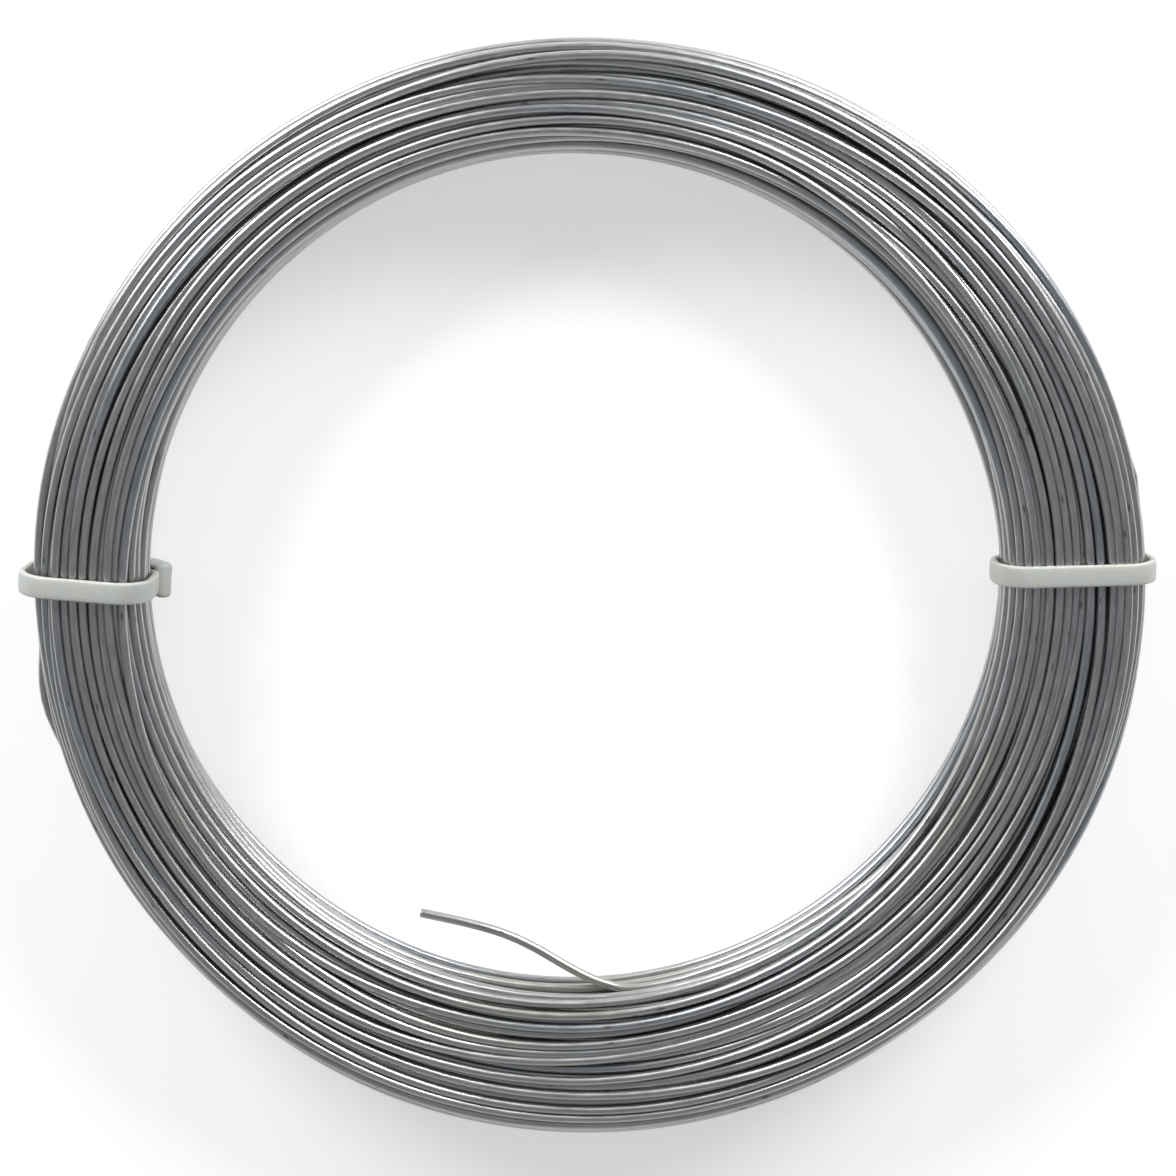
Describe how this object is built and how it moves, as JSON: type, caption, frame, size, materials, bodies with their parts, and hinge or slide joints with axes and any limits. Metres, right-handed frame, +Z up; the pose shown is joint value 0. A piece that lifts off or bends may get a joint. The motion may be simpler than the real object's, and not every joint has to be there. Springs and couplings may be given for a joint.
{
  "type": "coil of binding wire",
  "caption": "Round coil of galvanised steel binding wire lying flat, held by two natural nylon cable ties, with the wire's free end bent into the open eye.",
  "frame": {"origin": "on the axis of the coil's outside, at the level of the floor that it lies on; the eye lies 5 mm off this axis", "axes": "+Z up along the coil's axis, +X towards the right cable tie, +Y away from the free end"},
  "size_m": [0.1892, 0.187, 0.0197],
  "materials": {
    "galvanised_wire": "bright hot-dip galvanised steel wire, drawn, with fine lengthwise grain",
    "natural_nylon": "natural nylon, slightly translucent off-white"
  },
  "bodies": {
    "root": {"wire_coil": "galvanised_wire", "left_cable_tie": "natural_nylon", "right_cable_tie": "natural_nylon"}
  },
  "joints": []
}
